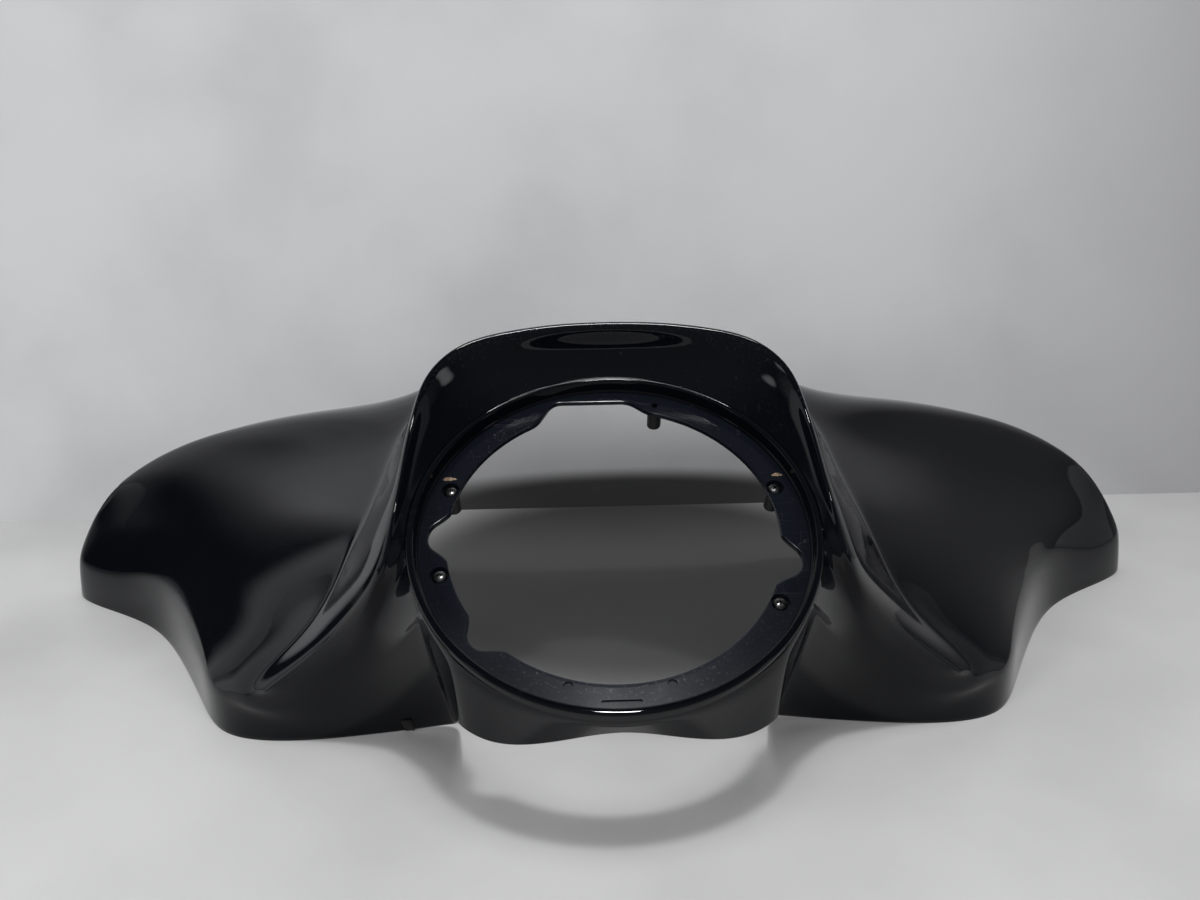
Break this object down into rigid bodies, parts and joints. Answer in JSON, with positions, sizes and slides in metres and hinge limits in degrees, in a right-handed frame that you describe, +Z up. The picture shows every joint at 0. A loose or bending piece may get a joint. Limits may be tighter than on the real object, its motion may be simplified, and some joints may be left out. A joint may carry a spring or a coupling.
{
  "type": "motorcycle fairing",
  "caption": "Fork-mounted touring fairing outer shell: swept wings, hooded brow, round headlight opening with lip and screw flange, notched lower lobes and chin.",
  "frame": {"origin": "centre of the bounding box at table level, the shell lying on its rear rim with the headlight opening facing up and forward", "axes": "+X across the wings to the viewer's right, +Y away from the headlight side, +Z up from the table"},
  "size_m": [0.88, 0.3781, 0.2407],
  "materials": {
    "gloss_black": "gloss painted moulding with fine dust and light scratches",
    "screw_steel": "dark plated screw steel"
  },
  "bodies": {
    "root": {"fairing_shell": "gloss_black", "flange_screws": "screw_steel"}
  },
  "joints": []
}
